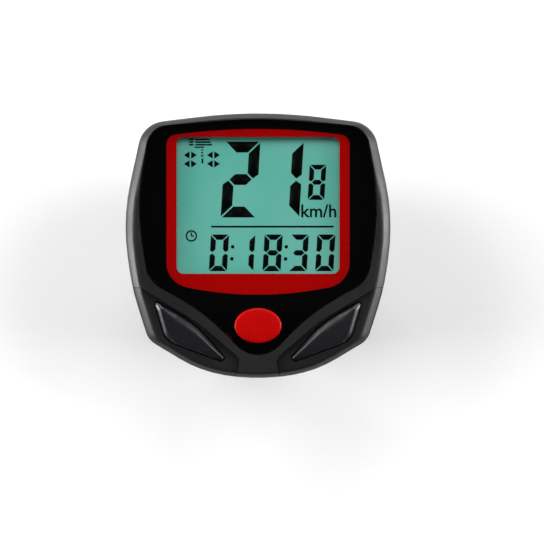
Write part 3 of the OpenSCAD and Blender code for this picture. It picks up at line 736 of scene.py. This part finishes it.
class BuildDisplay(bpy.types.Operator):
    """Dark segments and signs of the display"""

    bl_idname = "cc.build_display"
    bl_label = "Display"

    def execute(self, context):
        display = sizes("cc_display")
        lean = display.lean
        bm = bmesh.new()
        write_figures(bm, display.speed, [(-3.5, 13.0), (5.15, 13.0)], (7.0, 15.1), 2.15, lean)
        write_figures(bm, display.tenths, [(11.75, 12.45)], (3.3, 7.0), 0.95, lean)
        row = -1.62
        places = [(x, row) for x in (-7.8, -2.56, 2.9, 8.1, 13.4)]
        write_figures(bm, display.ride_time.replace(":", ""), places, (3.6, 7.3), 1.05, lean)
        for x in (-5.15, 5.55):
            draw_colon(bm, x, row, lean)
        draw_signs(bm)
        draw_clock(bm, -13.3, 1.75, 1.15)
        write_unit(bm, display.unit, 12.1, 6.6, 3.645)
        made = bmesh.ops.extrude_face_region(bm, geom=list(bm.faces))
        lifted = [v for v in made["geom"] if isinstance(v, bmesh.types.BMVert)]
        bmesh.ops.translate(bm, verts=lifted, vec=UP * display.ink_height)
        bmesh.ops.recalc_face_normals(bm, faces=bm.faces)
        make_piece("display_figures", bm, "lcd_polariser", finish="figure_ink")
        return {"FINISHED"}


class BuildKeys(bpy.types.Operator):
    """Two ridged corner keys and the crowned oval key"""

    bl_idname = "cc.build_keys"
    bl_label = "Keys"

    def execute(self, context):
        for side, node in ((1, "right_button"), (-1, "left_button")):
            make_piece(node.replace("button", "key"), self.corner_key(node, side), node, replaces=[node])
        make_piece("middle_key", self.oval_key(*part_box("mode_button")), "mode_button", rounding=0.05 * MM,
                   segments=2, angle=50, replaces=["mode_button"])
        return {"FINISHED"}

    def corner_key(self, node, side):
        """A leaf whose face rises to a ridge along its upper edge; side is -1 on the left, 1 on the right"""
        keys = sizes("cc_keys")
        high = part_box(node)[1]
        bm = copy_of(node)
        top = max((f for f in bm.faces if f.normal.z > 0.99), key=lambda f: f.calc_center_median().z)
        middle = top.calc_center_median()
        edges = {"upper": [], "outer": [], "lower": []}
        for edge in top.edges:
            a, b = (v.co.xy for v in edge.verts)
            out = Vector((b.y - a.y, a.x - b.x)).normalized()
            if out.dot((a + b) / 2 - middle.xy) < 0:
                out.negate()
            outward = out.x * side
            edges["upper" if outward < 0 else "outer" if outward > 0.6 else "lower"].append((a, b))
        level = high.z - SAME_PLACE
        along = Vector((side * 0.77, 0.64, 0))
        across = Vector((-0.64 * side, 0.77, 0))
        for direction, reach, step in ((along, 10 * MM, 0.3 * MM), (across, 4 * MM, 0.12 * MM)):
            for i in range(-int(reach / step), int(reach / step) + 1):
                faces = [f for f in bm.faces if f.normal.z > 0.99 and f.calc_center_median().z > level]
                parts = {e for f in faces for e in f.edges} | {v for f in faces for v in f.verts}
                bmesh.ops.bisect_plane(bm, geom=faces + list(parts), dist=1e-7, plane_no=direction,
                                       plane_co=middle + direction * (i * step))
        for vert in bm.verts:
            if vert.co.z > level:
                gaps = {name: min(self.gap(vert.co.xy, *edge) for edge in group) / MM
                        for name, group in edges.items()}
                vert.co.z -= keys.crown * (1 - self.crown(gaps))
        bmesh.ops.recalc_face_normals(bm, faces=bm.faces)
        return bm

    def gap(self, point, a, b):
        """Distance from a point to an edge of the outline"""
        along = b - a
        t = max(0.0, min(1.0, (point - a).dot(along) / along.length_squared))
        return (point - a - along * t).length

    def crown(self, gaps):
        """Height of a corner key as a share of its crown, from the distances to its three sides in mm"""
        breadth = gaps["upper"] + gaps["lower"]
        ridge_at = 0.32 * breadth
        full = min(1.0, 0.12 + breadth / 3.0)
        upper = 0.08 + 0.92 * self.rise(gaps["upper"], ridge_at)
        face = 1.0 - 0.07 * max(0.0, gaps["upper"] - ridge_at)
        outer = 0.1 + 0.9 * self.rise(gaps["outer"], 0.9)
        lower = 0.35 + 0.65 * self.rise(gaps["lower"], 0.5)
        return full * upper * face * outer * lower

    def rise(self, gap, width):
        """A rounded slope: steep at the edge and level at its width"""
        return math.sin(math.pi / 2 * min(1.0, gap / max(width, 1e-6)))

    def oval_key(self, low, high):
        """An oval with a rounded rim and a low crown"""
        flange, foot, rise = 0.5 * MM, 1.0 * MM, 0.34 * MM
        middle = (low + high) / 2
        half = (high - low) / 2 - Vector((flange, flange, 0))
        bm = bmesh.new()
        disc = bmesh.ops.create_circle(bm, cap_ends=True, segments=72, radius=1)["verts"]
        bmesh.ops.scale(bm, verts=disc, vec=Vector((half.x, half.y, 1)))
        bmesh.ops.translate(bm, verts=disc, vec=Vector((middle.x, middle.y, low.z + foot)))
        base = disc[0].link_faces[0]
        made = bmesh.ops.extrude_face_region(bm, geom=[base])
        top = [f for f in made["geom"] if isinstance(f, bmesh.types.BMFace)]
        bmesh.ops.translate(bm, verts=list(top[0].verts), vec=UP * (high.z - low.z - foot - rise))
        bmesh.ops.recalc_face_normals(bm, faces=bm.faces)
        for thick, depth in ((0.07, 0.12), (0.13, 0.09), (0.3, 0.06), (0.8, 0.05), (1.2, 0.02)):
            bmesh.ops.inset_region(bm, faces=top, thickness=thick * MM, depth=depth * MM,
                                   use_even_offset=True)
        return bm


class BuildSprings(bpy.types.Operator):
    """Rubber domes under the keys and springs behind the contact pins"""

    bl_idname = "cc.build_springs"
    bl_label = "Domes and springs"

    def execute(self, context):
        for side in ("left", "right"):
            node = side + "_pin_spring"
            coil = make_piece(side + "_coil", copy_of(node), node, replaces=[node])
            self.give_way(coil, side + "_contact_press", *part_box(node))
        keys = sizes("cc_keys")
        low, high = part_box("keypad_mat")
        top = low.z + keys.sheet
        make_piece("keypad_sheet", self.keypad_sheet(top), "keypad_mat", replaces=["keypad_mat"])
        for key in ("left", "right", "mode"):
            pill_low, pill_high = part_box(key + "_pill")
            middle = (pill_low + pill_high) / 2
            foot, crown = (Vector((middle.x, middle.y, z)) for z in (top, high.z))
            shape = self.dome(foot, crown, pill_high.z, keys.dome_radius)
            dome = make_piece(key + "_dome", shape, "keypad_mat")
            self.give_way(dome, key + "_key_press", foot, crown)
        return {"FINISHED"}

    def give_way(self, piece, joint, low, high):
        """Gives a piece a copy of its mesh of its own, at its full length"""
        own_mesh(piece)

    def keypad_sheet(self, level):
        """The mat below its domes, closed with a flat top just under the level given"""
        bm = copy_of("keypad_mat")
        cut = bmesh.ops.bisect_plane(bm, geom=[*bm.verts, *bm.edges, *bm.faces], dist=1e-8, clear_outer=True,
                                     plane_co=UP * (level - 0.01 * MM), plane_no=UP)
        rim = [e for e in cut["geom_cut"] if isinstance(e, bmesh.types.BMEdge)]
        bmesh.ops.triangle_fill(bm, edges=rim, normal=UP, use_beauty=True)
        bmesh.ops.recalc_face_normals(bm, faces=bm.faces)
        return bm

    def dome(self, low, high, ceiling, radius):
        """A hollow dome with a chamfered crown, spun round its key's axis"""
        bm = bmesh.new()
        wall, chamfer = 0.6 * MM, 0.3 * MM
        hollow = radius - wall
        outline = [(0, ceiling), (hollow, ceiling), (hollow, low.z), (radius, low.z),
                   (radius, high.z - chamfer), (radius - chamfer, high.z), (0, high.z)]
        verts = [bm.verts.new((low.x + r, low.y, z)) for r, z in outline]
        edges = [bm.edges.new(pair) for pair in zip(verts, verts[1:])]
        bmesh.ops.spin(bm, geom=edges, cent=low, axis=UP, angle=2 * math.pi, steps=40, use_merge=True)
        bmesh.ops.remove_doubles(bm, verts=bm.verts, dist=1e-7)
        bmesh.ops.recalc_face_normals(bm, faces=bm.faces)
        return bm


class BuildBracket(bpy.types.Operator):
    """Bracket, latch and ribbed rubber pad"""

    bl_idname = "cc.build_bracket"
    bl_label = "Bracket"

    def execute(self, context):
        bracket = sizes("cc_bracket")
        make_piece("saddle_bracket", copy_of("bracket_body"), "bracket_body", rounding=bracket.rounding,
                   replaces=["bracket_body"])
        make_piece("latch_tongue", copy_of("release_latch"), "release_latch", rounding=0.18 * MM,
                   replaces=["release_latch"])
        make_piece("ribbed_pad", self.ribbed_pad(bracket), "bar_pad", rounding=0.08 * MM, segments=2,
                   replaces=["bar_pad"])
        make_piece("coin_cover", copy_of("battery_cover"), "battery_cover", rounding=0.1 * MM,
                   replaces=["battery_cover"])
        return {"FINISHED"}

    def ribbed_pad(self, bracket):
        """A pad bent round the handlebar, with grooves across its gripping side"""
        low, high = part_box("bar_pad")
        inner = bracket.bar_radius
        outer = inner + bracket.pad
        centre = Vector((0, (low.y + high.y) / 2, high.z - outer))
        half_angle = math.acos((low.z - centre.z) / inner)
        bm = bmesh.new()
        ends = [bm.verts.new(centre + Vector((low.x, 0, r))) for r in (inner, outer)]
        start = bm.edges.new(ends)
        bmesh.ops.rotate(bm, cent=centre, matrix=Matrix.Rotation(half_angle, 3, "X"), verts=ends)
        per_rib = 6
        bmesh.ops.spin(bm, geom=[start], cent=centre, axis=Vector((1, 0, 0)), angle=-2 * half_angle,
                       steps=bracket.ribs * per_rib, use_merge=False)
        ordered = sorted((v for v in bm.verts if (v.co - centre).yz.length < (inner + outer) / 2),
                         key=lambda v: v.co.y)
        for i, vert in enumerate(ordered):
            if i % per_rib in (3, 4) and 3 < i < len(ordered) - 3:
                away = (vert.co - centre) * Vector((0, 1, 1))
                vert.co += away.normalized() * bracket.groove
        for vert in bm.verts:
            vert.co.z = max(vert.co.z, low.z)
        made = bmesh.ops.extrude_face_region(bm, geom=list(bm.faces))
        far = [v for v in made["geom"] if isinstance(v, bmesh.types.BMVert)]
        bmesh.ops.translate(bm, verts=far, vec=Vector((high.x - low.x, 0, 0)))
        bmesh.ops.recalc_face_normals(bm, faces=bm.faces)
        return bm


class SetStage(bpy.types.Operator):
    """Floor, lamps, world and camera"""

    bl_idname = "cc.set_stage"
    bl_label = "Stage"

    def execute(self, context):
        stage = sizes("cc_stage")
        scene = context.scene
        scene.view_settings.view_transform = "Standard"
        bm = bmesh.new()
        bmesh.ops.create_grid(bm, x_segments=2, y_segments=2, size=1.5)
        bmesh.ops.translate(bm, verts=bm.verts, vec=Vector((0, 0, cad_bounds[0].z - 0.02 * MM)))
        mesh = bpy.data.meshes.new("floor")
        bm.to_mesh(mesh)
        bm.free()
        mesh.materials.append(FINISHES["pale_floor"])
        floor = bpy.data.objects.new("floor", mesh)
        scene.collection.objects.link(floor)
        unlit = bpy.data.collections.new("no_glare")
        unlit.objects.link(bpy.data.objects["window"])
        unlit.collection_objects[0].light_linking.link_state = "EXCLUDE"
        display = bpy.data.collections.new("display_only")
        display.objects.link(frame["nodes"]["lcd_polariser"])
        self.lamp("display_fill", (0.0, 0.36, 0.5), 0.4, 5.0, display)
        for name, at, size, power in (("left_panel", (-0.6, 0.0, 0.17), 0.3, 6.2),
                                      ("right_panel", (0.6, 0.0, 0.17), 0.3, 5.4),
                                      ("back_panel", (0.0, 0.65, 0.26), 0.3, 2.9),
                                      ("high_left", (-0.6, 0.45, 0.5), 0.4, 3.7),
                                      ("high_right", (0.6, 0.35, 0.5), 0.4, 3.2)):
            self.lamp(name, at, size, power, unlit)
        world = bpy.data.worlds.new("studio")
        world.use_nodes = True
        world.node_tree.nodes["Background"].inputs["Color"].default_value = (0.8, 0.85, 0.9, 1)
        world.node_tree.nodes["Background"].inputs["Strength"].default_value = 0.012
        scene.world = world
        self.camera(stage)
        return {"FINISHED"}

    def lamp(self, name, at, size, power, linked):
        """A square panel aimed at the head; size in metres, power in watts, lighting what is linked"""
        light = bpy.data.lights.new(name, "AREA")
        light.size = size
        light.energy = power
        lamp = bpy.data.objects.new(name, light)
        bpy.context.scene.collection.objects.link(lamp)
        lamp.light_linking.receiver_collection = linked
        lamp.location = at
        lamp.rotation_euler = (Vector((0, 0, HEAD_HIGH.z)) - Vector(at)).to_track_quat("-Z", "Y").to_euler()

    def camera(self, stage):
        """A camera that looks straight down on the display, a little towards the rider"""
        lens = bpy.data.cameras.new("camera")
        lens.lens = stage.focal
        lens.sensor_width = 36.0
        lens.clip_start = 0.01
        camera = bpy.data.objects.new("camera", lens)
        bpy.context.scene.collection.objects.link(camera)
        camera.location = (2.8 * MM, -5.3 * MM, HEAD_HIGH.z + stage.distance)
        bpy.context.scene.camera = camera


class CyclingComputerPanel(bpy.types.Panel):
    """Sizes, colours and building steps of the cycling computer"""

    bl_label = "Cycling Computer"
    bl_idname = "VIEW3D_PT_cycling_computer"
    bl_space_type = "VIEW_3D"
    bl_region_type = "UI"
    bl_category = "Cycling Computer"

    def draw(self, context):
        layout = self.layout
        for name in GROUPS:
            box = layout.box()
            for prop in GROUPS[name].__annotations__:
                box.prop(getattr(context.scene, name), prop)
        for step in STEPS:
            layout.operator(step.bl_idname)


GROUPS = {"cc_head": HeadSizes, "cc_display": DisplaySizes, "cc_keys": KeySizes, "cc_bracket": BracketSizes,
          "cc_stage": StageSizes}
STEPS = (MixFinishes, PaintFrame, BuildShells, BuildWindow, BuildDisplay, BuildKeys, BuildSprings,
         BuildBracket, SetStage)


def register():
    for cls in (*GROUPS.values(), *STEPS, CyclingComputerPanel):
        bpy.utils.register_class(cls)
    for name, cls in GROUPS.items():
        setattr(bpy.types.Scene, name, PointerProperty(type=cls))


def unregister():
    for name in GROUPS:
        delattr(bpy.types.Scene, name)
    for cls in reversed((*GROUPS.values(), *STEPS, CyclingComputerPanel)):
        bpy.utils.unregister_class(cls)


def main():
    register()
    for step in STEPS:
        group, name = step.bl_idname.split(".")
        getattr(getattr(bpy.ops, group), name)()


if __name__ == "__main__":
    main()
